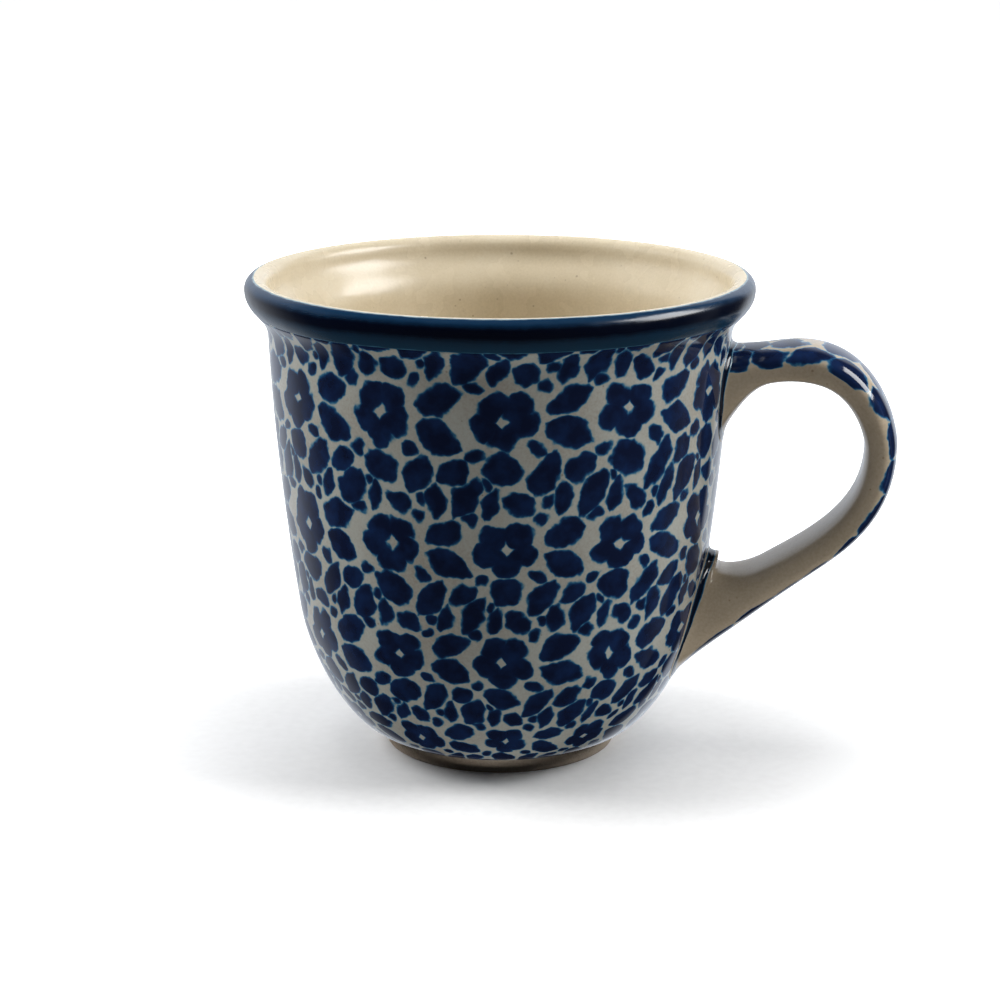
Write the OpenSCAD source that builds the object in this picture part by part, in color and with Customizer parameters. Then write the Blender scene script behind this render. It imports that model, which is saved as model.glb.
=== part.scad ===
// Stoneware mug: a slip-cast cup with a flared lip and a low foot ring, a strap handle
// luted on with slip, and a coat of glaze in separate areas.
// The axis of the cup is Z, the table is z = 0 and the handle points along +X.

/* [Cup] */
// Height from the table to the top of the lip
mug_h = 86; // [78:0.5:104]
// Outer diameter at the neck, under the flared lip
neck_d = 82; // [68:0.5:100]
// How far the lip stands out past the neck
lip_flare = 4; // [2:0.1:8]
// Height of the flare, from the neck to the top of the lip
flare_h = 10.5; // [8:0.5:14]
// Radius of the rounded top of the lip
lip_round = 1.8; // [1.2:0.1:2.4]
// Outer diameter where the belly turns under
belly_d = 72.5; // [60:0.5:86]
// Height of the turn of the belly
belly_z = 26; // [20:0.5:34]
// Thickness of the clay wall
wall_t = 3.4; // [2.6:0.1:4.2]
// Thickness of the clay floor above the hollow of the foot
floor_t = 4; // [3:0.5:6]

/* [Foot] */
// Outer diameter of the foot ring
foot_d = 42; // [35:0.5:51]
// Height of the bare clay of the foot ring
foot_h = 3; // [2:0.25:4]
// Width of the foot ring
foot_ring_w = 3.6; // [2.5:0.1:5]
// Depth of the hollow inside the foot ring
foot_hollow = 2; // [1:0.25:3]

/* [Handle] */
// Distance from the neck out to the middle of the strap at its widest
bow_out = 26.7; // [22:0.1:34]
// Depth of the widest point of the bow below the top of the lip
bow_drop = 29.2; // [26:0.2:34]
// Depth of the upper root below the top of the lip
upper_root_drop = 20; // [18:0.5:23]
// Drop of the lower root below the turn of the belly
lower_root_drop = 6; // [3:0.5:8]
// Width of the strap
strap_w = 15.4; // [12:0.2:20]
// Thickness of the strap
strap_t = 5; // [4:0.1:7]
// Extra thickness on the inside of the shoulder of the bow
shoulder_t = 1.1; // [0:0.1:2]
// Extra width of the upper root
upper_root_w = 2.5; // [0:0.5:4]
// Extra width of the lower root
lower_root_w = 4.5; // [0:0.5:6]
// Thickness of the slip that lutes a root to the cup
slip_t = 0.5; // [0.3:0.1:1]

/* [Glaze] */
// Thickness of every coat of glaze
glaze_t = 0.3; // [0.2:0.05:0.5]
// Height of the cobalt band down the outside of the lip
band_out = 5.4; // [3:0.2:8]
// Width of the cobalt line round each root of the handle
line_w = 1.3; // [0.8:0.1:2]
// Thickness of the cobalt line round each root of the handle
line_t = 0.3; // [0.2:0.05:0.5]

/* [Hidden] */
$fn = 120;

clay = "wheat";
cream = "cornsilk";
cobalt = "midnightblue";

// --- Curves -------------------------------------------------------------------------------

// Cubic curve from a to d, pulled towards b and then c, in n steps
function curve(a, b, c, d, n) =
    [for (i = [0:n]) let (t = i / n, s = 1 - t)
        s * s * s * a + 3 * s * s * t * b + 3 * s * t * t * c + t * t * t * d];
function unit(v) = v / norm(v);
function tail(line) = [for (i = [1:len(line) - 1]) line[i]];
function cut(line, a, b) = [for (i = [a:b]) line[i]];
function reversed(line) = [for (i = [len(line) - 1:-1:0]) line[i]];
// The line moved d to its right, seen along it
function moved(line, d) =
    [for (i = [0:len(line) - 1])
        let (a = line[max(i - 1, 0)], b = line[min(i + 1, len(line) - 1)], u = unit(b - a))
            line[i] + d * [u.y, -u.x]];
function smooth(x) = let (c = min(max(x, 0), 1)) c * c * (3 - 2 * c);
// Fades from 1 at x = 0 to 0 at x = 1 and stays there
function fade(x) = pow(max(1 - x, 0), 2);

// --- Section of the clay cup: distance from the axis, height ------------------------------

foot_r = foot_d / 2;
foot_bevel = 0.5;
belly_r = belly_d / 2 - glaze_t;
neck_r = neck_d / 2 - glaze_t;
lip_r = neck_r + lip_flare;
clay_top = mug_h - glaze_t;
neck_z = mug_h - flare_h;
lip_z = clay_top - lip_round;
lip_mid_r = lip_r - lip_round;
floor_z = foot_hollow + floor_t;
floor_r = foot_r - 5;

// From the top of the bare foot up the belly, the neck and the flare to the edge of the lip
outer_line = concat(
    curve([foot_r, foot_h], [foot_r + 6, foot_h + 0.4],
          [belly_r - 1.6, belly_z - 10], [belly_r, belly_z], 10),
    tail(curve([belly_r, belly_z], [belly_r + 1.4, belly_z + 9],
               [neck_r - 0.7, neck_z - 20], [neck_r, neck_z], 9)),
    tail(curve([neck_r, neck_z], [neck_r + 0.2, neck_z + 4.5],
               [lip_r, lip_z - 3.8], [lip_r, lip_z], 10)));
// Over the rounded lip
lip_arc = [for (a = [15:15:165]) [lip_mid_r + lip_round * cos(a), lip_z + lip_round * sin(a)]];
// Down the inside to the middle of the floor
inner_line = concat(
    curve([lip_mid_r - lip_round, lip_z], [lip_mid_r - lip_round, lip_z - 3.4],
          [neck_r - wall_t, neck_z + 4], [neck_r - wall_t, neck_z - 1], 8),
    tail(curve([neck_r - wall_t, neck_z - 1], [neck_r - wall_t - 0.7, neck_z - 20],
               [belly_r - wall_t + 1.2, belly_z + 9], [belly_r - wall_t, belly_z], 9)),
    tail(curve([belly_r - wall_t, belly_z], [belly_r - wall_t - 2, belly_z - 11],
               [floor_r + 9, floor_z], [floor_r, floor_z], 9)),
    [[floor_r / 2, floor_z], [0, floor_z]]);
// The whole clay surface that can be glazed, from the foot over the lip to the floor
clay_line = concat(outer_line, lip_arc, inner_line);
glaze_line = moved(clay_line, glaze_t);
// Under the foot: out from the axis through the hollow to the ring and up its side
hollow_line = concat(
    [[0, foot_hollow]],
    curve([foot_r - foot_ring_w - 3, foot_hollow], [foot_r - foot_ring_w - 1, foot_hollow],
          [foot_r - foot_ring_w - 0.6, 0.8], [foot_r - foot_ring_w, foot_bevel], 5));
ring_line = [[foot_r - foot_ring_w + foot_bevel, 0], [foot_r - foot_bevel, 0],
             [foot_r, foot_bevel]];

// Where the cobalt band begins along the clay surface, and the crest of the lip where it ends
first_lip = len(outer_line);
band_first = max([for (i = [0:first_lip]) if (clay_line[i].y <= mug_h - band_out) i]);
crest = first_lip + floor(len(lip_arc) / 2);

// A ring of glaze on the clay surface, from one point of its section to another
module coat(first, last) {
    rotate_extrude()
        polygon(concat(cut(clay_line, first, last), reversed(cut(glaze_line, first, last))));
}

// The cup filled to its axis, with its outside moved out by g
module filled_cup(g) {
    side = moved(outer_line, g);
    rotate_extrude()
        polygon(concat([[0, side[0].y]], side, [[0, side[len(side) - 1].y]]));
}

// The layer round the cup from g1 to g2 outside its clay
module layer(g1, g2) {
    rotate_extrude()
        polygon(concat(moved(outer_line, g1), reversed(moved(outer_line, g2))));
}

// --- Strap of the handle ------------------------------------------------------------------

half_steps = 20;
sides = 24;
bow = [neck_d / 2 + bow_out, mug_h - bow_drop];
upper_root = [neck_d / 2 - 4, mug_h - upper_root_drop];
lower_root = [belly_d / 2 - 3.1, belly_z - lower_root_drop];
rise_upper = 34;
rise_lower = 58;
root_depth = 6;
// Middle of the strap in the plane of the handle, as x and z
strap_path = concat(
    curve(upper_root, upper_root + 29.6 * [cos(rise_upper), sin(rise_upper)],
          bow + [0, 4.7], bow, half_steps),
    tail(curve(bow, bow - [0, 21.6],
               lower_root + 16.2 * [cos(rise_lower), sin(rise_lower)], lower_root, half_steps)));
last = len(strap_path) - 1;
// Both roots lie along the wall, and the strap between them lies across its own path
upper_wall = unit([0.05, 1]);
lower_wall = unit([-0.4, -1]);
function along(i) = unit(strap_path[min(i + 1, last)] - strap_path[max(i - 1, 0)]);
function from_upper(i) = norm(strap_path[i] - upper_root);
function from_lower(i) = norm(strap_path[i] - lower_root);
// Direction from the middle of the strap to its outer face
function outward(i) =
    let (u = along(i), k1 = 1 - smooth(from_upper(i) / 20), k2 = 1 - smooth(from_lower(i) / 25))
        unit((1 - k1) * (1 - k2) * [-u.y, u.x] + k1 * upper_wall + k2 * lower_wall);
// From the middle of the strap to its outer face, to its inner face and to its side
function to_outer(i) =
    strap_t / 2 + 6 * fade(from_upper(i) / 15.6) + 7.6 * fade(from_lower(i) / 31.8);
function to_inner(i) =
    strap_t / 2 + 12 * fade(from_upper(i) / 11.8) + 14.6 * fade(from_lower(i) / 19.9)
    + shoulder_t * exp(-pow((from_upper(i) - 19.8) / 9, 2));
function to_side(i) =
    (strap_w + upper_root_w * fade(from_upper(i) / 14)
             + lower_root_w * fade(from_lower(i) / 18)) / 2;
// One rounded oblong across the strap, moved out by g: crowned outside, flatter inside
function bulge(x, power) = sign(x) * pow(abs(x), 2 / power);

// How square the inner half of the section is: it rounds off towards both roots
function square(i) = 3.2 - 1.1 * fade(from_upper(i) / 20) - 1.1 * fade(from_lower(i) / 26);
function strap_ring(i, g, shift) =
    [for (k = [0:sides - 1])
        let (a = 360 * (k + 0.5) / sides, out = sin(a) > 0, d = outward(i),
             v = bulge(sin(a), out ? 2.2 : square(i)) * (out ? to_outer(i) + g : to_inner(i) + g),
             y = bulge(cos(a), out ? 2.3 : square(i)) * (to_side(i) + g),
             p = strap_path[i] + v * d + shift)
            [p.x, y, p.y]];
// Every ring from one to another, with the roots carried on into the wall
function strap_rings(first, final, g) = concat(
    first == 0 ? [strap_ring(0, g, [-root_depth, 0])] : [],
    [for (i = [first:final]) strap_ring(i, g, [0, 0])],
    final == last ? [strap_ring(last, g, [-root_depth, 0])] : []);

// Faces round a stack of rings, where point k of ring j is number start + j * sides + k
function wall_faces(rings, start, inside) =
    [for (j = [0:rings - 2], k = [0:sides - 1])
        let (a = start + j * sides + k, b = start + j * sides + (k + 1) % sides,
             c = b + sides, d = a + sides)
            each inside ? [[a, b, c], [a, c, d]] : [[a, c, b], [a, d, c]]];

// The strap as a solid, moved out by g
module strap(first, final, g) {
    rings = strap_rings(first, final, g);
    n = len(rings);
    polyhedron([for (r = rings) each r], concat(
        wall_faces(n, 0, false),
        [[for (k = [0:sides - 1]) k], [for (k = [sides - 1:-1:0]) (n - 1) * sides + k]]));
}

// The strap as a sleeve, from g1 to g2 outside its clay
module sleeve(first, final, g1, g2) {
    inner = strap_rings(first, final, g1);
    outer = strap_rings(first, final, g2);
    n = len(outer);
    m = n * sides;
    polyhedron([for (r = concat(outer, inner)) each r], concat(
        wall_faces(n, 0, false),
        wall_faces(n, m, true),
        [for (k = [0:sides - 1]) let (q = (k + 1) % sides)
            each [[k, q, m + q], [k, m + q, m + k]]],
        [for (k = [0:sides - 1]) let (q = (k + 1) % sides, e = (n - 1) * sides)
            each [[e + k, m + e + q, e + q], [e + k, m + e + k, m + e + q]]]));
}

// The rings that reach past the wall at each root
upper_end = 7;
lower_end = last - 8;

// --- Sub-parts ----------------------------------------------------------------------------

module cup_body() {
    color(clay) rotate_extrude() polygon(concat(hollow_line, ring_line, clay_line));
}

module handle() {
    color(clay) difference() {
        strap(0, last, 0);
        filled_cup(slip_t);
    }
}

module upper_slip_joint() {
    color(clay) intersection() {
        strap(0, upper_end, 0);
        layer(0, slip_t);
    }
}

module lower_slip_joint() {
    color(clay) intersection() {
        strap(lower_end, last, 0);
        layer(0, slip_t);
    }
}

module outer_glaze() {
    color(cobalt) difference() {
        coat(0, band_first);
        strap(0, last, glaze_t);
    }
}

module inner_glaze() {
    color(cream) coat(crest, len(clay_line) - 1);
}

module base_glaze() {
    color(cream) rotate_extrude()
        polygon(concat(hollow_line, reversed(moved(hollow_line, glaze_t))));
}

module handle_glaze() {
    color(cream) difference() {
        sleeve(0, last, 0, glaze_t);
        filled_cup(0);
    }
}

module rim_band() {
    color(cobalt) coat(band_first, crest);
}

module upper_root_line() {
    color(cobalt) intersection() {
        sleeve(0, upper_end, glaze_t, glaze_t + line_t);
        layer(glaze_t, glaze_t + line_w);
    }
}

module lower_root_line() {
    color(cobalt) intersection() {
        sleeve(lower_end, last, glaze_t, glaze_t + line_t);
        layer(glaze_t, glaze_t + line_w);
    }
}

cup_body();
handle();
upper_slip_joint();
lower_slip_joint();
outer_glaze();
inner_glaze();
base_glaze();
handle_glaze();
rim_band();
upper_root_line();
lower_root_line();
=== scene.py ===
"""A hand-stamped stoneware mug: glaze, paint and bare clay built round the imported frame.

Lengths are in millimetres until a mesh is made. The axis of the cup is Z, the table is z = 0
and the handle points along +X.
"""
import math

import bmesh
import bpy
import numpy as np
from mathutils import Matrix, Vector, noise


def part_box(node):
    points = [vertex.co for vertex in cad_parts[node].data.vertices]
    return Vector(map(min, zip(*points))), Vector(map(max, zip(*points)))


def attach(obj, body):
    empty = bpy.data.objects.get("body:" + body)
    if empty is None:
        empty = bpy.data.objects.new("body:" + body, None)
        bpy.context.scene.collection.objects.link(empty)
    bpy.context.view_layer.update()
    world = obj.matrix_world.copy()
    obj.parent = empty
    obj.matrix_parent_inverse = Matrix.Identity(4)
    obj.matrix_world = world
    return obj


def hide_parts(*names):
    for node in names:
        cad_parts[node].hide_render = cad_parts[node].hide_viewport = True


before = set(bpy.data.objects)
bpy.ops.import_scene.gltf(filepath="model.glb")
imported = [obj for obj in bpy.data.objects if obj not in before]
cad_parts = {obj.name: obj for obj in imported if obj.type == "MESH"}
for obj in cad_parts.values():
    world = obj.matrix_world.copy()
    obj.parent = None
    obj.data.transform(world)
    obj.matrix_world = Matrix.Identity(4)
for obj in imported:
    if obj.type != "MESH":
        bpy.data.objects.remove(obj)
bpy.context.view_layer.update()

MM = 0.001


def corners(node):
    """Lowest and highest corner of a node of the frame."""
    low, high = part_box(node)
    return low / MM, high / MM


# --- Sizes ----------------------------------------------------------------------------------

# Read from the frame
cup_high = corners("cup_body")[1]
mug_h = corners("rim_band")[1].z
reach = corners("handle_glaze")[1].x

# Glaze and paint
glaze_t = mug_h - cup_high.z
band_out = 5.4
line_w = 1.5
line_t = 0.05
lip_bare = 80.0             # degrees round the lip where the cobalt band gives way to cream

# Clay cup
wall_t = 3.4
lip_round = 1.8
lip_r = cup_high.x
neck_r = lip_r - 4.0
neck_z = mug_h - 10.5
belly_r = 36.25 - glaze_t
belly_z = 26.0
foot_r = 21.0
foot_h = 3.0
foot_ring_w = 3.6
ring_inner_r = foot_r - foot_ring_w
foot_bevel = 0.5
foot_hollow = 2.0
floor_z = 6.0
floor_r = foot_r - 5.0
lip_z = cup_high.z - lip_round
lip_mid_r = lip_r - lip_round

# Strap of the handle
strap_w = 15.4
strap_t = 5.0
shoulder_t = 1.1
root_depth = 6.0
bow = Vector((reach - glaze_t - strap_t / 2, mug_h - 29.2))
upper_root = Vector((neck_r + glaze_t - 4.0, mug_h - 20.0))
lower_root = Vector((belly_r + glaze_t - 3.1, belly_z - 6.0))
upper_fillet = 1.2
lower_fillet = 1.5

# Stamps: one sponge is set down again and again, twelve times round the cup
unrolled_r = 40.5           # radius that the stamped sheet is unrolled at
stamp_w = 2 * math.pi * unrolled_r / 12
stamp_h = 22.8
first_stamp = 6.0           # how far round the cup the first flower of a row lies

# Meshes
turns = 384                 # columns round the cup
strap_sides = 80            # lines along the strap
strap_steps = 130           # rings along the strap


# --- Curves and sections --------------------------------------------------------------------

def curve(a, b, c, d, steps):
    """Points on a cubic curve from a to d, pulled towards b and then c."""
    a, b, c, d = (np.array(p, float) for p in (a, b, c, d))
    t = np.linspace(0, 1, steps + 1)[:, None]
    s = 1 - t
    return s**3 * a + 3 * s * s * t * b + 3 * s * t * t * c + t**3 * d


def joined(*lines):
    """One line from several that each start where the last one ends."""
    return np.vstack([lines[0]] + [line[1:] for line in lines[1:]])


def smooth(x):
    x = min(max(x, 0.0), 1.0)
    return x * x * (3 - 2 * x)


def fade(x):
    """Fades from 1 at x = 0 to 0 at x = 1 and stays there."""
    return max(1 - x, 0.0) ** 2


def wander(x, y, z, size, seed=0.0):
    """Smooth random number from -1 to 1 that changes over about size millimetres."""
    return noise.noise(Vector((x / size + seed, y / size + 3.1 * seed, z / size - seed)))


def clay_section():
    """The glazed part of the clay surface: up the outside, over the lip and down to the floor."""
    outside = joined(
        curve((foot_r, foot_h), (foot_r + 6, foot_h + 0.4),
              (belly_r - 1.6, belly_z - 10), (belly_r, belly_z), 60),
        curve((belly_r, belly_z), (belly_r + 1.4, belly_z + 9),
              (neck_r - 0.7, neck_z - 20), (neck_r, neck_z), 60),
        curve((neck_r, neck_z), (neck_r + 0.2, neck_z + 4.5),
              (lip_r, lip_z - 3.8), (lip_r, lip_z), 40))
    turn = np.radians(np.arange(0, 181, 5))
    lip = np.column_stack((lip_mid_r + lip_round * np.cos(turn), lip_z + lip_round * np.sin(turn)))
    inner_r = lip_mid_r - lip_round
    inside = joined(
        curve((inner_r, lip_z), (inner_r, lip_z - 3.4),
              (neck_r - wall_t, neck_z + 4), (neck_r - wall_t, neck_z - 1), 30),
        curve((neck_r - wall_t, neck_z - 1), (neck_r - wall_t - 0.7, neck_z - 20),
              (belly_r - wall_t + 1.2, belly_z + 9), (belly_r - wall_t, belly_z), 50),
        curve((belly_r - wall_t, belly_z), (belly_r - wall_t - 2, belly_z - 11),
              (floor_r + 9, floor_z), (floor_r, floor_z), 50),
        curve((floor_r, floor_z), (floor_r * 0.7, floor_z),
              (floor_r * 0.3, floor_z), (0, floor_z), 16))
    return outside, lip, inside


class Section:
    """A line in the (radius, height) plane that can be asked for any point along its length."""

    def __init__(self, line):
        step = np.linalg.norm(np.diff(line, axis=0), axis=1)
        self.line = line
        self.length = np.concatenate(([0], np.cumsum(step)))
        ahead = np.gradient(line[:, 0], self.length), np.gradient(line[:, 1], self.length)
        size = np.hypot(*ahead)
        self.normal = np.column_stack((ahead[1] / size, -ahead[0] / size))
        # Height on the unrolled sheet, which shrinks with the girth as a wrapped pattern does
        grow = unrolled_r / np.maximum(line[:, 0], 8.0)
        self.rise = np.concatenate(([0], np.cumsum(step * (grow[1:] + grow[:-1]) / 2)))

    def at(self, along, out=0.0):
        """Radius and height of the point that far along, moved out from the surface."""
        radius = np.interp(along, self.length, self.line[:, 0])
        height = np.interp(along, self.length, self.line[:, 1])
        return (radius + out * np.interp(along, self.length, self.normal[:, 0]),
                height + out * np.interp(along, self.length, self.normal[:, 1]))

    def unrolled(self, along):
        return np.interp(along, self.length, self.rise)


outside_line, lip_line, inside_line = clay_section()
clay = Section(joined(outside_line, lip_line, inside_line))
outside_length = clay.length[len(outside_line) - 1]
band_start = float(np.interp(mug_h - band_out, outside_line[:, 1],
                             clay.length[:len(outside_line)]))
band_end = outside_length + math.radians(lip_bare) * lip_round
glazed_outside = Section(outside_line)
glazed_wall = np.column_stack(glazed_outside.at(glazed_outside.length, glaze_t))


def foot_edge(angle):
    """How far up the clay the glaze starts: it was wiped off the foot by hand."""
    x, y = math.cos(angle) * foot_r, math.sin(angle) * foot_r
    return 0.35 + 0.35 * wander(x, y, 0, 7, 4.0) + 0.15 * wander(x, y, 0, 2.2, 9.0)


def band_edge(angle):
    """How far along the clay the cobalt band starts."""
    x, y = math.cos(angle) * neck_r, math.sin(angle) * neck_r
    return band_start + 0.3 * wander(x, y, 0, 16, 1.0) + 0.07 * wander(x, y, 0, 3, 2.0)


def lip_edge(angle):
    """How far along the clay the band wears thin on the lip and the cream lining starts."""
    x, y = math.cos(angle) * lip_r, math.sin(angle) * lip_r
    return band_end + 0.12 * wander(x, y, 0, 14, 5.0) + 0.05 * wander(x, y, 0, 3, 6.0)


def cup_middle(angle):
    """How far along the clay the lining ends: in the middle of the floor, whatever the angle."""
    return clay.length[-1]


# --- Meshes ---------------------------------------------------------------------------------

def piece(name, lines, closed=True, values=None, material=None):
    """A closed piece from lines of points, each line joined to the next and the last to the first.

    closed joins the end of each line to its start. values gives one number for each point.
    """
    rows, columns = len(lines), len(lines[0])
    points = [Vector(p) * MM for line in lines for p in line]
    faces = []
    for j in range(rows):
        k = (j + 1) % rows
        for i in range(columns if closed else columns - 1):
            n = (i + 1) % columns
            faces.append((j * columns + i, k * columns + i, k * columns + n, j * columns + n))
    mesh = bpy.data.meshes.new(name)
    mesh.from_pydata(points, [], faces)
    for label, numbers in (values or {}).items():
        layer = mesh.attributes.new(label, "FLOAT", "POINT")
        layer.data.foreach_set("value", np.array(numbers, np.float32).ravel())
    close_poles(mesh)
    mesh.shade_smooth()
    made = bpy.data.objects.new(name, mesh)
    bpy.context.scene.collection.objects.link(made)
    mesh.materials.append(material)
    return made


def close_poles(mesh):
    """Joins the points that lie on top of each other and turns every face outwards."""
    work = bmesh.new()
    work.from_mesh(mesh)
    bmesh.ops.remove_doubles(work, verts=work.verts, dist=0.0005 * MM)
    bmesh.ops.recalc_face_normals(work, faces=work.faces)
    work.to_mesh(mesh)
    work.free()


def fit(made, node):
    """The piece stands for its node of the frame, which is hidden, and rides with the mug."""
    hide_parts(node)
    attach(made, "root")


def turned(section, angle):
    """Points of a section, as radius and height, turned to an angle round the cup."""
    radius, height = section
    return np.column_stack((radius * math.cos(angle), radius * math.sin(angle), height))


def coat(name, start, end, steps, taper_start, material, to_axis=False):
    """A coat of glaze on the clay from one edge to another, both given as functions of angle.

    taper_start is the length over which the coat rounds up to its full thickness.
    """
    lines, rises, from_start, to_end = [], [], [], []
    for column in range(turns):
        angle = 2 * math.pi * column / turns
        low, high = start(angle), end(angle)
        along = np.linspace(low, high, steps)
        radius, height = clay.at(along)
        x, y = math.cos(angle), math.sin(angle)
        ripple = np.array([wander(x * r, y * r, h, 11, 7.0) for r, h in zip(radius, height)])
        out = glaze_t + 0.03 * ripple
        if taper_start:
            rise = np.clip((along - low) / taper_start, 0, 1)
            out = out * np.sqrt(1 - (1 - rise) ** 2)
        if to_axis:
            out[-1] = glaze_t
        outer = turned(clay.at(along, out), angle)
        inner = turned(clay.at(along), angle)[::-1]
        lines.append(np.vstack((outer, inner)))
        for numbers, new in ((rises, clay.unrolled(along)), (from_start, along - low),
                             (to_end, high - along)):
            numbers.append(np.concatenate((new, new[::-1])))
    values = {"rise": rises, "from_start": from_start, "to_end": to_end}
    return piece(name, lines, not to_axis, values, material)


# --- Handle ---------------------------------------------------------------------------------

rise_upper = math.radians(34)
rise_lower = math.radians(58)
upper_half = [upper_root,
              upper_root + 29.6 * Vector((math.cos(rise_upper), math.sin(rise_upper))),
              bow + Vector((0, 4.7)), bow]
lower_half = [bow, bow - Vector((0, 21.6)),
              lower_root + 16.2 * Vector((math.cos(rise_lower), math.sin(rise_lower))), lower_root]
upper_wall = Vector((0.05, 1)).normalized()
lower_wall = Vector((-0.4, -1)).normalized()


def strap_middle(t):
    """Middle of the strap and its direction: t is 0 at the upper root and 1 at the lower."""
    a, b, c, d = upper_half if t < 0.5 else lower_half
    u = min(max(2 * t if t < 0.5 else 2 * t - 1, 0.0), 1.0)
    s = 1 - u
    point = s**3 * a + 3 * s * s * u * b + 3 * s * u * u * c + u**3 * d
    ahead = s * s * (b - a) + 2 * s * u * (c - b) + u * u * (d - c)
    return point, ahead.normalized()


def bulge(x, power):
    return math.copysign(abs(x) ** (2 / power), x)


def strap_point(t, turn, out):
    """Point on the strap: turn is the angle round its section, 90 degrees on the outer face."""
    point, ahead = strap_middle(t)
    upper, lower = (point - upper_root).length, (point - lower_root).length
    k1, k2 = 1 - smooth(upper / 20), 1 - smooth(lower / 25)
    outward = ((1 - k1) * (1 - k2) * Vector((-ahead.y, ahead.x))
               + k1 * upper_wall + k2 * lower_wall).normalized()
    to_outer = strap_t / 2 + 6 * fade(upper / 15.6) + 7.6 * fade(lower / 31.8)
    to_inner = (strap_t / 2 + 12 * fade(upper / 11.8) + 14.6 * fade(lower / 19.9)
                + shoulder_t * math.exp(-((upper - 19.8) / 9) ** 2))
    to_side = (strap_w + 2.5 * fade(upper / 14) + 4.5 * fade(lower / 18)) / 2
    outer_face = math.sin(turn) > 0
    square = 3.2 - 1.1 * fade(upper / 20) - 1.1 * fade(lower / 26)
    v = bulge(math.sin(turn), 2.2 if outer_face else square)
    v *= (to_outer if outer_face else to_inner) + out
    y = bulge(math.cos(turn), 2.3 if outer_face else square) * (to_side + out)
    # Past either root the strap is carried on level into the wall
    past_root = max(-t, 0) + max(t - 1, 0)
    x = point.x + v * outward.x - 10 * root_depth * past_root
    return Vector((x, y, point.y + v * outward.y))


def wall_radius(height):
    return float(np.interp(height, glazed_wall[:, 1], glazed_wall[:, 0]))


def from_wall(p):
    """How far a point is outside the glazed wall, measured level."""
    return math.hypot(p.x, p.y) - wall_radius(p.z)


def on_wall(p):
    """The point of the glazed wall level with p."""
    scale = wall_radius(p.z) / math.hypot(p.x, p.y)
    return Vector((p.x * scale, p.y * scale, p.z))


def wall_normal(p):
    slope = (wall_radius(p.z + 0.5) - wall_radius(p.z - 0.5))
    level = Vector((p.x, p.y, 0)).normalized()
    return (level - Vector((0, 0, slope))).normalized()


def reaches(turn, start, step, gap):
    """Where along the strap a line comes within gap of the wall, looking from start."""
    t = start
    while from_wall(strap_point(t, turn, glaze_t)) > gap:
        t += step
    near, far = t - step, t
    for _ in range(24):
        middle = (near + far) / 2
        if from_wall(strap_point(middle, turn, glaze_t)) > gap:
            near = middle
        else:
            far = middle
    return far


def fillet_size(turn, upper):
    """How far the fillet runs out: at the upper root it is widest in the crook of the strap."""
    crook = max(-math.sin(turn), 0.0) ** 2
    return upper_fillet + 1.2 * crook if upper else lower_fillet


def root_fillet(turn, start, step, steps):
    """Points from the wall up the fillet to the strap, and where on the strap it ends."""
    size = fillet_size(turn, step < 0)
    t_meet = reaches(turn, start, step, 0.0)
    meet = strap_point(t_meet, turn, glaze_t)
    t_end = t_meet
    while (strap_point(t_end, turn, glaze_t) - meet).length < size:
        t_end -= step / 12
    top = strap_point(t_end, turn, glaze_t)
    around = (strap_point(t_meet, turn + 0.03, glaze_t)
              - strap_point(t_meet, turn - 0.03, glaze_t))
    across = around.cross(top - meet).normalized()
    if across.dot(meet - root_middle(step)) < 0:
        across = -across
    normal = wall_normal(meet)
    away = (across - across.dot(normal) * normal).normalized()
    base = on_wall(meet + away * size)
    points = []
    for i in range(steps + 1):
        s = i / steps
        points.append((1 - s) ** 2 * base + 2 * s * (1 - s) * meet + s * s * top)
    return points, t_end


def root_middle(step):
    """Middle of the root that a walk with this step leads to."""
    root = upper_root if step < 0 else lower_root
    return Vector((root.x, 0, root.y))


def strap_lines():
    """Lines along the glazed strap, each from the wall at the upper root to the lower one."""
    lines, where = [], []
    for side in range(strap_sides):
        turn = 2 * math.pi * (side + 0.5) / strap_sides
        upper, t_upper = root_fillet(turn, 0.5, -0.01, 9)
        lower, t_lower = root_fillet(turn, 0.5, 0.01, 9)
        middle = [strap_point(t_upper + (t_lower - t_upper) * i / strap_steps, turn, glaze_t)
                  for i in range(1, strap_steps)]
        lines.append(upper + middle + lower[::-1])
        where.append(turn)
    return lines, where


def line_normals(lines):
    """Outward normal at every point of a tube of lines."""
    grid = np.array([[tuple(p) for p in line] for line in lines])
    around = np.roll(grid, -1, axis=0) - np.roll(grid, 1, axis=0)
    along = np.gradient(grid, axis=1)
    normal = np.cross(around, along)
    normal /= np.linalg.norm(normal, axis=2, keepdims=True)
    middle = grid.mean(axis=0, keepdims=True)
    flip = np.sign(((grid - middle) * normal).sum(axis=2).mean())
    return grid, normal * flip


def build_handle_glaze(material):
    """The glaze on the strap, run out over a small fillet on to the wall at each root."""
    grid, normal = strap_grid, strap_normal
    middle = grid.mean(axis=0)
    steps = np.linalg.norm(np.diff(middle, axis=0), axis=1)
    along = np.concatenate(([0], np.cumsum(steps)))
    # Distance round the section from the middle of its outer face
    order = np.roll(np.arange(strap_sides), strap_sides // 4)
    steps = np.linalg.norm(np.diff(grid[order], axis=0), axis=2)
    around = np.empty(grid.shape[:2])
    around[order] = np.vstack((0 * steps[:1], np.cumsum(steps, axis=0)))
    around -= (around[strap_sides // 4 - 1] + around[strap_sides // 4]) / 2
    outer = grid + normal * 0.02
    inner = grid - normal * glaze_t
    lines = [np.vstack((o, i[::-1])) for o, i in zip(outer, inner)]
    side = np.abs(around)
    values = {"along": [np.concatenate((along, along[::-1]))] * len(lines),
              "side": [np.concatenate((a, a[::-1])) for a in side],
              "around": [np.concatenate((a, a[::-1])) for a in around]}
    return piece("handle_glaze", lines, True, values, material)


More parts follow.
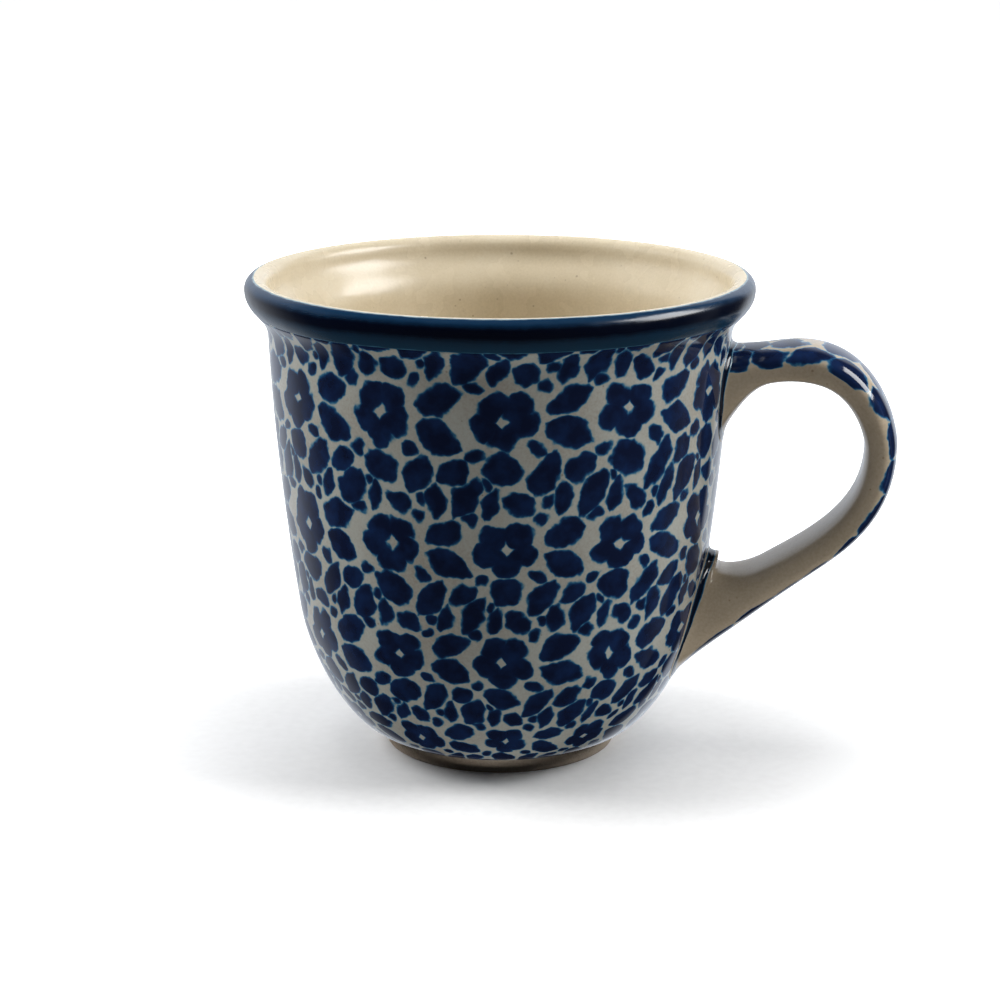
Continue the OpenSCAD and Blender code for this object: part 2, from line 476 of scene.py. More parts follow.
def build_root_line(name, upper, material):
    """The cobalt line brushed round one root, in the hollow of the fillet."""
    lines, across = [], []
    for side in range(strap_sides):
        line = strap_grid[side] if upper else strap_grid[side][::-1]
        normal = strap_normal[side] if upper else strap_normal[side][::-1]
        length = np.concatenate(([0], np.cumsum(np.linalg.norm(np.diff(line, axis=0), axis=1))))
        meet = fillet_size(strap_turns[side], upper)
        seed = 11.0 if upper else 17.0
        x, y, z = line[5]
        start = (0.15 if upper else 0.4) * meet + 0.2 * wander(x, y, z, 5, seed)
        width = line_w * (1 + 0.3 * wander(x, y, z, 4, seed + 3))
        s = np.linspace(max(start, 0.12), start + width, 9)
        at = np.column_stack([np.interp(s, length, line[:, i]) for i in range(3)])
        up = np.column_stack([np.interp(s, length, normal[:, i]) for i in range(3)])
        share = (s - s[0]) / (s[-1] - s[0])
        swell = line_t * np.sqrt(np.clip(1 - (2 * share - 1) ** 2, 0, 1))
        outer = at + up * (0.02 + swell)[:, None]
        inner = at - up * 0.15
        lines.append(np.vstack((outer, inner[::-1])))
        across.append(np.concatenate((share, share[::-1])))
    return piece(name, lines, True, {"across": across}, material)


# --- Materials ------------------------------------------------------------------------------

def linear(colour):
    """An sRGB hex colour as the linear colour that the shaders work in."""
    parts = [int(colour[i:i + 2], 16) / 255 for i in (1, 3, 5)]
    return tuple(c / 12.92 if c <= 0.04045 else ((c + 0.055) / 1.055) ** 2.4
                 for c in parts) + (1.0,)


def add(tree, kind, inputs=None, out=0, **settings):
    """Adds a node with its settings, links or sets its inputs and gives back one output."""
    made = tree.nodes.new(kind)
    for name, value in settings.items():
        setattr(made, name, value)
    for key, value in (inputs or {}).items():
        if isinstance(value, bpy.types.NodeSocket):
            tree.links.new(value, made.inputs[key])
        else:
            made.inputs[key].default_value = value
    return made.outputs[out]


def new_material(name):
    made = bpy.data.materials.new(name)
    made.use_nodes = True
    made.node_tree.nodes.clear()
    return made


def finish_surface(material, colour, roughness, bump_height, bump_mm, sockets):
    """The shader at the end of every material: colour, roughness, relief and plain numbers."""
    tree = material.node_tree
    relief = add(tree, "ShaderNodeBump", {"Height": bump_height, "Distance": bump_mm * MM,
                                          "Strength": 1.0})
    inputs = {"Base Color": colour, "Roughness": roughness, "Normal": relief}
    inputs.update(sockets)
    shader = add(tree, "ShaderNodeBsdfPrincipled", inputs)
    add_output = tree.nodes.new("ShaderNodeOutputMaterial")
    tree.links.new(shader, add_output.inputs["Surface"])
    return material


def millimetres(tree):
    """Position on the mug in millimetres."""
    place = add(tree, "ShaderNodeTexCoord", out=3)
    return add(tree, "ShaderNodeVectorMath", {0: place, "Scale": 1 / MM}, operation="SCALE")


def ramp(tree, value, stops, low, high):
    """A colour that goes through the stops, each a value and a hex colour."""
    share = add(tree, "ShaderNodeMapRange", {0: value, 1: low, 2: high})
    made = tree.nodes.new("ShaderNodeValToRGB")
    tree.links.new(share, made.inputs[0])
    points = made.color_ramp.elements
    while len(points) < len(stops):
        points.new(0.5)
    for point, (at, colour) in zip(points, stops):
        point.position = (at - low) / (high - low)
        point.color = linear(colour)
    return made.outputs[0]


def speckled_clay_glaze(tree, place, ground, speck, amount):
    """Colour of clear glaze on grey cream stoneware, with iron specks that bleed through it."""
    cloud = add(tree, "ShaderNodeTexNoise", {"Vector": place, "Scale": 1 / 14, "Detail": 3.0})
    grain = add(tree, "ShaderNodeTexNoise", {"Vector": place, "Scale": 1 / 0.45, "Detail": 2.0})
    tone = add(tree, "ShaderNodeMath", {0: cloud, 1: 0.6, 2: 0.52}, operation="MULTIPLY_ADD")
    tone = add(tree, "ShaderNodeMath", {0: grain, 1: 0.4, 2: tone}, operation="MULTIPLY_ADD")
    base = ramp(tree, tone, ground, 0.8, 1.3)
    cells = add(tree, "ShaderNodeTexVoronoi", {"Vector": place, "Scale": 1 / 2.1,
                                               "Randomness": 1.0})
    spread = add(tree, "ShaderNodeTexNoise", {"Vector": place, "Scale": 1 / 5.0, "Detail": 1.0})
    size = add(tree, "ShaderNodeMapRange", {0: spread, 1: 0.42, 2: 0.75, 3: 0.0, 4: 0.14})
    shade = add(tree, "ShaderNodeMath", {0: size, 1: cells}, operation="SUBTRACT")
    shade = add(tree, "ShaderNodeMapRange", {0: shade, 1: -0.03, 2: 0.05, 3: 0.0, 4: amount})
    return add(tree, "ShaderNodeMix", {0: shade, 6: base, 7: linear(speck)}, out=2,
               data_type="RGBA")


def glaze_relief(tree, place):
    """Height of a poured glaze: long soft swells with a faint orange peel."""
    swell = add(tree, "ShaderNodeTexNoise", {"Vector": place, "Scale": 1 / 9, "Detail": 2.0})
    peel = add(tree, "ShaderNodeTexNoise", {"Vector": place, "Scale": 1 / 1.6, "Detail": 1.0})
    return add(tree, "ShaderNodeMath", {0: peel, 1: 0.12, 2: swell}, operation="MULTIPLY_ADD")


def uneven_gloss(tree, place, low, high):
    """Roughness of a poured glaze: it drifts between two values over about 6 mm."""
    cloud = add(tree, "ShaderNodeTexNoise", {"Vector": place, "Scale": 1 / 6, "Detail": 2.0})
    return add(tree, "ShaderNodeMapRange", {0: cloud, 1: 0.3, 2: 0.7, 3: low, 4: high})


glass_sockets = {"IOR": 1.5, "Specular IOR Level": 0.5}

ground_tones = [(0.85, "#a19b90"), (1.02, "#adaca3"), (1.2, "#b4b8b1")]
strap_tones = [(0.85, "#a89983"), (1.02, "#b4a58f"), (1.2, "#bdae98")]
cobalt_bleed = [(-0.9, "#121b36"), (-0.35, "#132140"), (-0.14, "#193e66"), (0.05, "#3a7090"),
                (0.2, "#7d969b"), (0.45, "#a6a8a1")]


# --- Stamped pattern ------------------------------------------------------------------------

# One sponge of the cup: middle, half length and half width of each leaf, bud or dot, the angle
# that it lies at and how round its ends are, in millimetres and degrees
cup_flower = ((0.0, 0.0), 3.0, 2.55, 18)
cup_leaves = [
    ((10.4, 2.9), 3.9, 2.5, 20, 0.9), ((10.7, -2.9), 4.2, 2.6, -26, 0.9),
    ((-6.6, 9.3), 4.0, 2.4, 62, 1.0), ((-0.2, -8.6), 3.4, 2.9, -25, 1.6),
    ((6.6, -9.8), 4.2, 2.3, 56, 0.9), ((-2.1, 8.6), 2.7, 1.5, 76, 0.7),
    ((2.2, 8.0), 2.5, 1.9, -35, 0.9), ((9.2, 8.9), 3.0, 1.7, 76, 0.7),
    ((12.6, -8.9), 2.9, 2.1, 30, 0.8), ((5.6, 5.6), 1.3, 1.1, 40, 0.8),
    ((-5.7, 5.6), 1.4, 1.1, 0, 0.7), ((5.6, -5.2), 1.7, 1.3, -30, 0.8),
    ((-4.7, -6.1), 1.5, 1.2, 30, 0.7), ((-3.0, -11.2), 1.0, 0.8, -60, 0.6),
    ((6.6, 8.6), 1.1, 0.9, 60, 0.6),
]


def round_the_tile(tree, spot, middle, tile):
    """The spot moved by whole tiles until it is the nearest one to the middle of a stamp."""
    high = (middle[0] + tile[0] / 2, middle[1] + tile[1] / 2, 0.0)
    low = (middle[0] - tile[0] / 2, middle[1] - tile[1] / 2, 0.0)
    return add(tree, "ShaderNodeVectorMath", {0: spot, 1: high, 2: low}, operation="WRAP")


def leaf_distance(tree, spot, tile, leaf):
    """Distance outside one leaf: the overlap of two round arcs, with its ends rounded."""
    middle, half_length, half_width, angle, rounding = leaf
    a, b = half_length - rounding, half_width - rounding
    arc = (a * a + b * b) / (2 * b)
    near = round_the_tile(tree, spot, middle, tile)
    laid = add(tree, "ShaderNodeMapping",
               {"Vector": near, "Location": (*middle, 0.0),
                "Rotation": (0.0, 0.0, math.radians(angle)), "Scale": (1.0, 1.0, 1.0)},
               vector_type="TEXTURE")
    folded = add(tree, "ShaderNodeVectorMath", {0: laid}, operation="ABSOLUTE")
    shifted = add(tree, "ShaderNodeVectorMath", {0: folded, 1: (0.0, arc - b, 0.0)})
    far = add(tree, "ShaderNodeVectorMath", {0: shifted}, out=1, operation="LENGTH")
    return add(tree, "ShaderNodeMath", {0: far, 1: arc + rounding}, operation="SUBTRACT")


def flower_distance(tree, spot, tile, flower):
    """Distance outside a flower of five round petals with a small bare diamond in the middle."""
    middle, petal_at, petal_r, angle = flower
    near = round_the_tile(tree, spot, middle, tile)
    laid = add(tree, "ShaderNodeVectorMath", {0: near, 1: (*middle, 0.0)}, operation="SUBTRACT")
    radius = add(tree, "ShaderNodeVectorMath", {0: laid}, out=1, operation="LENGTH")
    parts = tree.nodes.new("ShaderNodeSeparateXYZ")
    tree.links.new(laid, parts.inputs[0])
    x, y = parts.outputs[0], parts.outputs[1]
    turn = add(tree, "ShaderNodeMath", {0: y, 1: x}, operation="ARCTAN2")
    turn = add(tree, "ShaderNodeMath", {0: turn, 1: math.radians(angle)})
    fifth = add(tree, "ShaderNodeMath", {0: turn, 1: math.pi / 5, 2: -math.pi / 5},
                operation="WRAP")
    cosine = add(tree, "ShaderNodeMath", {0: fifth}, operation="COSINE")
    # Distance to the middle of the nearest petal, by the cosine rule
    product = add(tree, "ShaderNodeMath", {0: radius, 1: cosine}, operation="MULTIPLY")
    square = add(tree, "ShaderNodeMath", {0: radius, 1: radius, 2: petal_at**2},
                 operation="MULTIPLY_ADD")
    square = add(tree, "ShaderNodeMath", {0: product, 1: -2 * petal_at, 2: square},
                 operation="MULTIPLY_ADD")
    petal = add(tree, "ShaderNodeMath", {0: square}, operation="SQRT")
    petal = add(tree, "ShaderNodeMath", {0: petal, 1: petal_r}, operation="SUBTRACT")
    heart = add(tree, "ShaderNodeMath", {0: radius, 1: 1.1 * petal_at}, operation="SUBTRACT")
    whole = add(tree, "ShaderNodeMath", {0: petal, 1: heart}, operation="MINIMUM")
    x_size = add(tree, "ShaderNodeMath", {0: x}, operation="ABSOLUTE")
    y_size = add(tree, "ShaderNodeMath", {0: y}, operation="ABSOLUTE")
    diamond = add(tree, "ShaderNodeMath", {0: x_size, 1: y_size})
    bare = add(tree, "ShaderNodeMath", {0: 1.15, 1: diamond}, operation="SUBTRACT")
    return add(tree, "ShaderNodeMath", {0: whole, 1: bare}, operation="MAXIMUM")


def nearest(tree, distances):
    """The smallest of several distances."""
    least = distances[0]
    for other in distances[1:]:
        least = add(tree, "ShaderNodeMath", {0: least, 1: other}, operation="MINIMUM")
    return least


def hand_shake(tree, spot, place):
    """Moves the stamps a little out of true, as a hand does, and cuts their outlines unevenly."""
    for size, reach_mm in ((16.0, 3.0), (3.4, 1.8)):
        drift = add(tree, "ShaderNodeTexNoise", {"Vector": place, "Scale": 1 / size,
                                                 "Detail": 0.0}, out=1)
        drift = add(tree, "ShaderNodeVectorMath", {0: drift, 1: (0.5, 0.5, 0.5)},
                    operation="SUBTRACT")
        drift = add(tree, "ShaderNodeVectorMath", {0: drift, 1: (reach_mm, reach_mm, 0.0)},
                    operation="MULTIPLY")
        spot = add(tree, "ShaderNodeVectorMath", {0: spot, 1: drift})
    return spot


def sponge_edge(tree, distance, place):
    """Roughens the edge of the stamps with the pores of the sponge."""
    for size, depth in ((1.2, 0.8), (0.5, 0.2)):
        pores = add(tree, "ShaderNodeTexNoise", {"Vector": place, "Scale": 1 / size,
                                                 "Detail": 0.0})
        pores = add(tree, "ShaderNodeMath", {0: pores, 1: depth, 2: -depth / 2},
                    operation="MULTIPLY_ADD")
        distance = add(tree, "ShaderNodeMath", {0: distance, 1: pores})
    return distance


def stamped_colour(tree, distance, place, ground):
    """Cobalt under clear glaze: dark where it is thick, teal where it bleeds into the glaze."""
    blue = ramp(tree, distance, cobalt_bleed, -1.0, 0.5)
    pooled = add(tree, "ShaderNodeTexNoise", {"Vector": place, "Scale": 1 / 3.6, "Detail": 3.0})
    pooled = add(tree, "ShaderNodeMapRange", {0: pooled, 1: 0.42, 2: 0.75, 3: 0.0, 4: 0.6})
    blue = add(tree, "ShaderNodeMix", {0: pooled, 6: blue, 7: linear("#1a3462")}, out=2,
               data_type="RGBA", blend_type="LIGHTEN")
    cover = add(tree, "ShaderNodeMapRange", {0: distance, 1: 0.0, 2: 0.45, 3: 1.0, 4: 0.0},
                interpolation_type="SMOOTHSTEP")
    return add(tree, "ShaderNodeMix", {0: cover, 6: ground, 7: blue}, out=2, data_type="RGBA")


def stamped_glaze():
    """Clear glaze over sponge-stamped cobalt on stoneware: glossy, dark blue, soft teal edges."""
    material = new_material("clear_glaze_over_stamped_cobalt")
    tree = material.node_tree
    place = millimetres(tree)
    parts = tree.nodes.new("ShaderNodeSeparateXYZ")
    tree.links.new(place, parts.inputs[0])
    angle = add(tree, "ShaderNodeMath", {0: parts.outputs[1], 1: parts.outputs[0]},
                operation="ARCTAN2")
    u = add(tree, "ShaderNodeMath", {0: angle, 1: unrolled_r, 2: -first_stamp},
            operation="MULTIPLY_ADD")
    rise = add(tree, "ShaderNodeAttribute", out=2, attribute_name="rise")
    rise = add(tree, "ShaderNodeMath", {0: rise, 1: row_shift}, operation="SUBTRACT")
    spot = add(tree, "ShaderNodeCombineXYZ", {0: u, 1: rise})
    spot = hand_shake(tree, spot, place)
    tile = (stamp_w, stamp_h)
    stamps = [flower_distance(tree, spot, tile, cup_flower)]
    stamps += [leaf_distance(tree, spot, tile, leaf) for leaf in cup_leaves]
    distance = sponge_edge(tree, nearest(tree, stamps), place)
    ground = speckled_clay_glaze(tree, place, ground_tones, "#6d5a45", 0.55)
    colour = stamped_colour(tree, distance, place, ground)
    rough = uneven_gloss(tree, place, 0.05, 0.1)
    return finish_surface(material, colour, rough, glaze_relief(tree, place), 0.035,
                          glass_sockets)


# Stamps on the outer face of the strap, as for the cup, in a strip repeated along it
strap_tile = (40.0, 26.0)
strap_leaves = [
    ((0.4, 0.2), 3.8, 2.8, 40, 1.2), ((5.9, 3.4), 3.7, 2.7, -40, 1.1),
    ((-6.0, 4.2), 3.8, 2.7, 70, 1.1), ((0.2, 6.4), 3.6, 2.8, 10, 1.4),
    ((6.4, -3.4), 3.6, 2.6, 75, 1.0), ((-5.6, -3.0), 3.6, 2.6, -50, 1.1),
    ((0.0, -6.0), 3.6, 2.7, -25, 1.2), ((6.0, 9.6), 3.6, 2.6, 55, 1.1),
    ((-5.4, 10.8), 3.8, 2.8, -65, 1.1), ((0.6, 12.4), 3.2, 2.5, 80, 1.2),
    ((5.8, -9.8), 3.5, 2.6, -60, 1.1), ((-5.6, -9.0), 3.6, 2.6, 40, 1.1),
]


def strap_glaze():
    """Clear glaze over the clay of the strap, stamped along its outer face only."""
    material = new_material("clear_glaze_over_stamped_strap")
    tree = material.node_tree
    place = millimetres(tree)
    along = add(tree, "ShaderNodeAttribute", out=2, attribute_name="along")
    around = add(tree, "ShaderNodeAttribute", out=2, attribute_name="around")
    spot = add(tree, "ShaderNodeCombineXYZ", {0: around, 1: along})
    spot = hand_shake(tree, spot, place)
    stamps = [leaf_distance(tree, spot, strap_tile, leaf) for leaf in strap_leaves]
    distance = nearest(tree, stamps)
    # The sponge only meets the outer face, so its marks stop where the strap turns under
    side = add(tree, "ShaderNodeAttribute", out=2, attribute_name="side")
    reached = add(tree, "ShaderNodeMapRange", {0: along, 1: 46.0, 2: 66.0, 3: 9.3, 4: 6.7})
    under = add(tree, "ShaderNodeMath", {0: side, 1: reached}, operation="SUBTRACT")
    under = add(tree, "ShaderNodeMapRange", {0: under, 1: 0.0, 2: 2.4, 3: 0.0, 4: 6.0})
    distance = add(tree, "ShaderNodeMath", {0: distance, 1: under})
    distance = sponge_edge(tree, distance, place)
    ground = speckled_clay_glaze(tree, place, strap_tones, "#6d5a45", 0.55)
    colour = stamped_colour(tree, distance, place, ground)
    rough = uneven_gloss(tree, place, 0.06, 0.12)
    return finish_surface(material, colour, rough, glaze_relief(tree, place), 0.035,
                          glass_sockets)


def cream_glaze(name):
    """Cream glaze inside the cup: glossy, warm and finely specked with iron."""
    material = new_material(name)
    tree = material.node_tree
    place = millimetres(tree)
    tones = [(0.85, "#cbbea3"), (1.02, "#d4c7ad"), (1.2, "#dacfb7")]
    colour = speckled_clay_glaze(tree, place, tones, "#7a6247", 0.5)
    rough = uneven_gloss(tree, place, 0.22, 0.3)
    return finish_surface(material, colour, rough, glaze_relief(tree, place), 0.03,
                          glass_sockets)


def cobalt_band():
    """Thick cobalt glaze on the lip, teal at its thin edges; its colour also carries painted
    shade, near black where the lip curves over.
    """
    material = new_material("cobalt_glaze_on_the_lip_painted_shade")
    tree = material.node_tree
    place = millimetres(tree)
    low = add(tree, "ShaderNodeAttribute", out=2, attribute_name="from_start")
    high = add(tree, "ShaderNodeAttribute", out=2, attribute_name="to_end")
    waver = add(tree, "ShaderNodeTexNoise", {"Vector": place, "Scale": 1 / 2.2, "Detail": 2.0})
    low = add(tree, "ShaderNodeMath", {0: waver, 1: 0.5, 2: low}, operation="MULTIPLY_ADD")
    # Painted shade: the blue goes near black from 3.2 to 4.4 mm up the band, under the rounding of
    # the lip, and is lighter below it and over the top; the teal at the lower edge is the cobalt's
    # own
    blue = ramp(tree, low, [(0.25, "#3b6c88"), (0.5, "#18394f"), (2.2, "#132e44"),
                            (3.2, "#050b1c"), (4.4, "#050b1c"), (5.3, "#0f2f4c")], 0.0, 8.0)
    thin = add(tree, "ShaderNodeMath", {0: waver, 1: 0.35, 2: high}, operation="MULTIPLY_ADD")
    thin = add(tree, "ShaderNodeMapRange", {0: thin, 1: 0.15, 2: 0.55, 3: 1.0, 4: 0.0})
    colour = add(tree, "ShaderNodeMix", {0: thin, 6: blue, 7: linear("#a3b9bd")}, out=2,
                 data_type="RGBA")
    rough = add(tree, "ShaderNodeMapRange", {0: waver, 1: 0.3, 2: 0.7, 3: 0.18, 4: 0.24})
    return finish_surface(material, colour, rough, glaze_relief(tree, place), 0.035,
                          glass_sockets)


def cobalt_line(name):
    """Brushed cobalt line under the glaze: dark in the middle, teal along both edges."""
    material = new_material(name)
    tree = material.node_tree
    place = millimetres(tree)
    across = add(tree, "ShaderNodeAttribute", out=2, attribute_name="across")
    waver = add(tree, "ShaderNodeTexNoise", {"Vector": place, "Scale": 1 / 1.4, "Detail": 2.0})
    wide = add(tree, "ShaderNodeMath", {0: waver, 1: 0.16, 2: -0.08}, operation="MULTIPLY_ADD")
    across = add(tree, "ShaderNodeMath", {0: across, 1: wide})
    colour = ramp(tree, across, [(0.0, "#7a9aa4"), (0.1, "#1d4c6c"), (0.22, "#0a1324"),
                                 (0.78, "#0a1324"), (0.9, "#1d4c6c"), (1.0, "#7a9aa4")],
                  0.0, 1.0)
    rough = add(tree, "ShaderNodeMapRange", {0: waver, 1: 0.3, 2: 0.7, 3: 0.06, 4: 0.12})
    return finish_surface(material, colour, rough, glaze_relief(tree, place), 0.03,
                          glass_sockets)


def bare_stoneware(name):
    """Unglazed stoneware: matt warm beige with a fine sandy tooth and a few dark grains."""
    material = new_material(name)
    tree = material.node_tree
    place = millimetres(tree)
    tones = [(0.85, "#b3a08c"), (1.02, "#c3b29f"), (1.2, "#cdbfae")]
    colour = speckled_clay_glaze(tree, place, tones, "#5f4630", 0.6)
    sand = add(tree, "ShaderNodeTexNoise", {"Vector": place, "Scale": 1 / 0.3, "Detail": 3.0})
    rough = add(tree, "ShaderNodeMapRange", {0: sand, 1: 0.3, 2: 0.7, 3: 0.7, 4: 0.9})
    return finish_surface(material, colour, rough, sand, 0.12,
                          {"IOR": 1.45, "Specular IOR Level": 0.3})


def paper_floor():
    """White studio paper: matt, with a painted glow that grows away from the mug."""
    material = new_material("white_paper_with_painted_glow")
    tree = material.node_tree
    place = millimetres(tree)
    fibre = add(tree, "ShaderNodeTexNoise", {"Vector": place, "Scale": 1 / 2.0, "Detail": 2.0})
    colour = ramp(tree, fibre, [(0.3, "#f4f4f4"), (0.7, "#f8f8f8")], 0.0, 1.0)
    far = add(tree, "ShaderNodeVectorMath", {0: place}, out=1, operation="LENGTH")
    # Painted light: the paper glows by emission, none within 40 mm of the axis and up to 0.9 at
    # 150 mm, which whitens the floor and lightens the far ends of its shadows
    glow = add(tree, "ShaderNodeMapRange", {0: far, 1: 40.0, 2: 150.0, 3: 0.0, 4: 0.9},
               interpolation_type="SMOOTHSTEP")
    return finish_surface(material, colour, 0.9, fibre, 0.01,
                          {"Specular IOR Level": 0.1, "Emission Color": linear("#ffffff"),
                           "Emission Strength": glow})


# --- Pieces ---------------------------------------------------------------------------------

def hollow_side(steps):
    """The side of the hollow under the foot, from its flat roof down to the ring."""
    return curve((ring_inner_r - 3, foot_hollow), (ring_inner_r - 1, foot_hollow),
                 (ring_inner_r - 0.6, 0.8), (ring_inner_r, foot_bevel), steps)


def build_cup_clay(material):
    """The clay cup, with its foot ring and the hollow under it."""
    turn = np.radians(np.arange(10, 91, 10))
    inner_round = np.column_stack((ring_inner_r + foot_bevel * (1 - np.cos(turn)),
                                   foot_bevel * (1 - np.sin(turn))))
    outer_round = np.column_stack((foot_r - foot_bevel * (1 - np.sin(turn)),
                                   foot_bevel * (1 - np.cos(turn))))
    side = curve((foot_r, foot_bevel), (foot_r - 0.1, 1.3), (foot_r - 0.1, 2.2),
                 (foot_r, foot_h), 8)
    section = np.vstack(([(0, foot_hollow), (8, foot_hollow)], hollow_side(12), inner_round,
                         outer_round, side[1:], clay.line[1::2]))
    lines = []
    for column in range(turns):
        angle = 2 * math.pi * column / turns
        radius, height = section[:, 0].copy(), section[:, 1]
        x, y = math.cos(angle) * foot_r, math.sin(angle) * foot_r
        cast = np.array([wander(x, y, h, 6, 2.0) + 0.4 * wander(x, y, h, 1.2, 3.0)
                         for h in height])
        radius -= np.where((height > 0.1) & (height < foot_h) & (radius > foot_r - 2),
                           0.05 + 0.05 * cast, 0)
        lines.append(turned((radius, height), angle))
    return piece("cup_clay", lines, False, None, material)


def build_base_glaze(material):
    """The thin glaze in the hollow under the foot."""
    roof = np.array([(0.0, foot_hollow), (7.0, foot_hollow), (ring_inner_r - 3, foot_hollow)])
    section = Section(joined(roof, hollow_side(14)))
    lines = []
    for column in range(turns // 2):
        angle = 4 * math.pi * column / turns
        x, y = math.cos(angle) * foot_r, math.sin(angle) * foot_r
        end = section.length[-1] - 0.5 - 0.25 * wander(x, y, 0, 5, 8.0)
        along = np.linspace(0, end, 34)
        rise = np.clip((end - along) / 0.7, 0, 1)
        out = glaze_t * np.sqrt(1 - (1 - rise) ** 2)
        lines.append(np.vstack((turned(section.at(along), angle),
                                turned(section.at(along, out), angle)[::-1])))
    return piece("base_glaze", lines, False, None, material)


# The middle of the second row of flowers is about half way up the cup
flower_row_z = 46.6
row_shift = float(np.interp(flower_row_z, outside_line[:, 1],
                            clay.rise[:len(outside_line)]))

strap_grid, strap_turns = strap_lines()
strap_grid, strap_normal = line_normals(strap_grid)

fit(build_cup_clay(bare_stoneware("bare_stoneware")), "cup_body")
fit(coat("outer_glaze", foot_edge, band_edge, 150, 0.7, stamped_glaze()),
    "outer_glaze")
fit(coat("rim_band", band_edge, lip_edge, 44, 0, cobalt_band()), "rim_band")
fit(coat("inner_glaze", lip_edge, cup_middle, 120, 0, cream_glaze("cream_glaze_lining"),
         to_axis=True), "inner_glaze")
fit(build_base_glaze(cream_glaze("cream_glaze_under_foot")), "base_glaze")
fit(build_handle_glaze(strap_glaze()), "handle_glaze")
fit(build_root_line("upper_root_line", True, cobalt_line("cobalt_line_upper")),
    "upper_root_line")
fit(build_root_line("lower_root_line", False, cobalt_line("cobalt_line_lower")),
    "lower_root_line")

# The strap and the slip that lutes it on keep their shapes from the frame
strap_clay = bare_stoneware("bare_stoneware_strap")
for node in ("handle", "upper_slip_joint", "lower_slip_joint"):
    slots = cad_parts[node].data.materials
    slots.clear()
    slots.append(strap_clay)


# --- Studio ---------------------------------------------------------------------------------

def build_floor(material, radius_mm):
    """A wide round sheet of white paper."""
    rings = [0.0, 150.0, 600.0, radius_mm]
    lines = []
    for column in range(96):
        angle = 2 * math.pi * column / 96
        lines.append([(r * math.cos(angle), r * math.sin(angle), 0.0) for r in rings])
    made = piece("floor", lines, False, None, material)
    made.visible_glossy = False
    made.visible_diffuse = False


def softbox(name, place, aim, width, height, power, shows):
    """A flat soft light at a place in millimetres that faces a point."""
    data = bpy.data.lights.new(name, "AREA")
    data.shape = "RECTANGLE"
    data.size, data.size_y = width * MM, height * MM
    data.energy = power
    made = bpy.data.objects.new(name, data)
    made.location = Vector(place) * MM
    made.rotation_euler = (Vector(aim) - Vector(place)).to_track_quat("-Z", "Y").to_euler()
    made.visible_camera = False
    made.visible_glossy = shows
    bpy.context.scene.collection.objects.link(made)


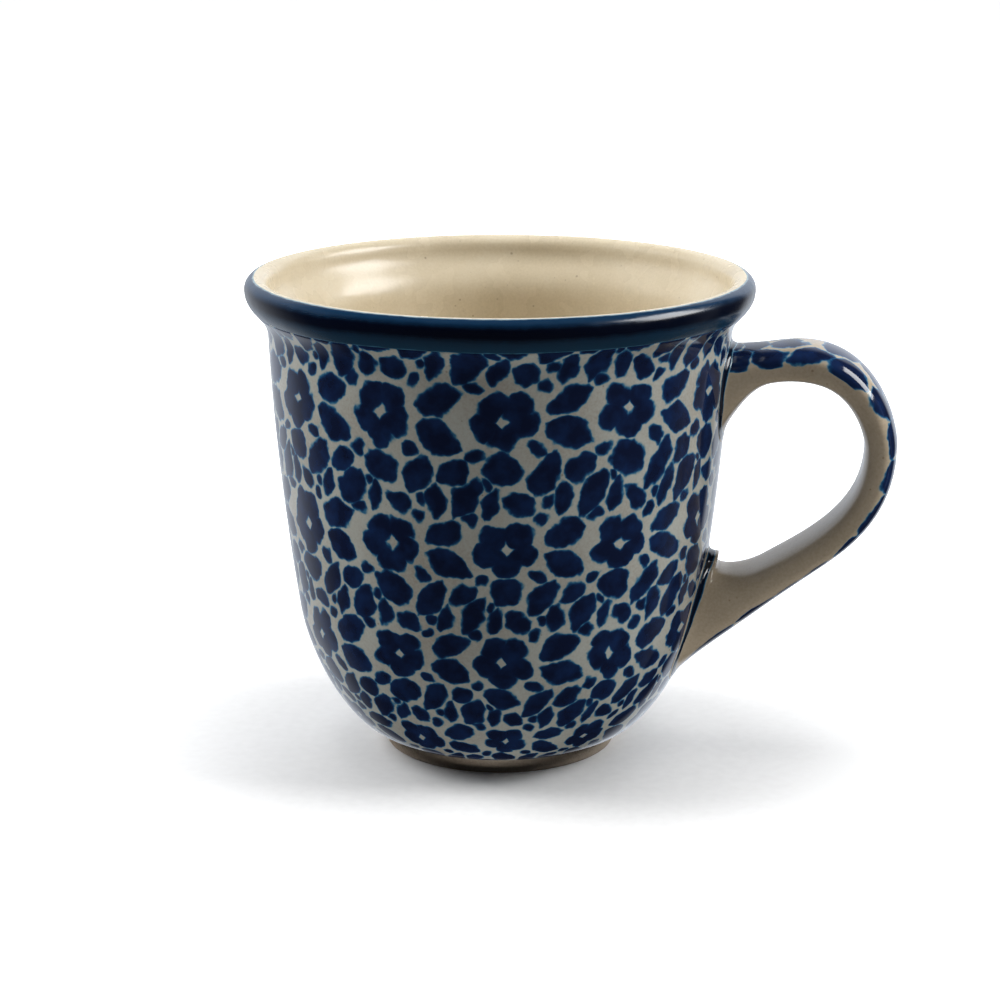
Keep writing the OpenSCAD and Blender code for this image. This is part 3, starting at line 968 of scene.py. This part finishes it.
def studio_air():
    """What the glaze mirrors: a bright backdrop behind the mug and a dark room in front."""
    world = bpy.data.worlds.new("studio_air")
    world.use_nodes = True
    tree = world.node_tree
    tree.nodes.clear()
    way = add(tree, "ShaderNodeTexCoord", out=0)
    parts = tree.nodes.new("ShaderNodeSeparateXYZ")
    tree.links.new(way, parts.inputs[0])
    east, north, up = parts.outputs[0], parts.outputs[1], parts.outputs[2]
    south = add(tree, "ShaderNodeMath", {0: north, 1: -1.0}, operation="MULTIPLY")
    angle = add(tree, "ShaderNodeMath", {0: east, 1: south}, operation="ARCTAN2")
    right = add(tree, "ShaderNodeMapRange",
                {0: angle, 1: math.radians(145), 2: math.radians(151), 3: 0.0, 4: 1.0})
    card = add(tree, "ShaderNodeMapRange",
               {0: angle, 1: math.radians(99), 2: math.radians(113), 3: 0.0, 4: 0.13})
    card_end = add(tree, "ShaderNodeMapRange",
                   {0: angle, 1: math.radians(117), 2: math.radians(119), 3: 1.0, 4: 0.0})
    card = add(tree, "ShaderNodeMath", {0: card, 1: card_end}, operation="MULTIPLY")
    left = add(tree, "ShaderNodeMapRange",
               {0: angle, 1: math.radians(-86), 2: math.radians(-145), 3: 0.0, 4: 0.75},
               interpolation_type="SMOOTHSTEP")
    around = add(tree, "ShaderNodeMath", {0: right, 1: left}, operation="MAXIMUM")
    around = add(tree, "ShaderNodeMath", {0: around, 1: card})
    low = add(tree, "ShaderNodeMapRange", {0: up, 1: 0.75, 2: 0.5, 3: 0.0, 4: 1.0},
              interpolation_type="SMOOTHSTEP")
    around = add(tree, "ShaderNodeMath", {0: around, 1: low}, operation="MULTIPLY")
    under = add(tree, "ShaderNodeMapRange", {0: up, 1: -0.8, 2: -0.5, 3: 0.0, 4: 1.0},
                interpolation_type="SMOOTHSTEP")
    glow = add(tree, "ShaderNodeMath", {0: around, 1: under, 2: 0.012}, operation="MULTIPLY_ADD")
    air = add(tree, "ShaderNodeBackground", {"Color": linear("#eef5ff"), "Strength": glow})
    output = tree.nodes.new("ShaderNodeOutputWorld")
    tree.links.new(air, output.inputs["Surface"])
    bpy.context.scene.world = world


def build_studio():
    """Soft lights overhead and at both sides, and what the paper throws back from below."""
    build_floor(paper_floor(), 6000.0)
    softbox("top_light", (0, 60, 900), (0, 0, 0), 700, 500, 3.8, False)
    softbox("left_light", (-600, 40, 480), (0, 0, 40), 420, 380, 5.0, False)
    softbox("right_light", (600, 40, 480), (0, 0, 40), 420, 380, 5.0, True)
    softbox("back_light", (0, 900, 500), (0, 0, 40), 1200, 600, 2.0, False)
    # Four sheets of light on the paper, laid like the arms of a pinwheel round the foot
    for quarter in range(4):
        turn = Matrix.Rotation(quarter * math.pi / 2, 3, "Z")
        middle = turn @ Vector((389, -411, 1))
        size = (822, 778) if quarter % 2 == 0 else (778, 822)
        softbox("paper_light", middle, middle + Vector((0, 0, 100)), *size, 1.2, False)
    studio_air()


def build_camera():
    """A long lens, a little above the table and turned a few degrees to the handle's side."""
    azimuth, elevation, distance = math.radians(6.9), math.radians(15), 450.0
    target = Vector((0, 0, 44.5))
    back = Vector((math.sin(azimuth) * math.cos(elevation),
                   -math.cos(azimuth) * math.cos(elevation), math.sin(elevation)))
    data = bpy.data.cameras.new("camera")
    data.sensor_width = 36.0
    data.lens = 89.7
    data.clip_end = 50.0
    made = bpy.data.objects.new("camera", data)
    made.location = (target + back * distance) * MM
    made.rotation_euler = back.to_track_quat("Z", "Y").to_euler()
    bpy.context.scene.collection.objects.link(made)
    bpy.context.scene.camera = made


build_studio()
build_camera()
bpy.context.scene.view_settings.view_transform = "Standard"

bpy.context.view_layer.update()
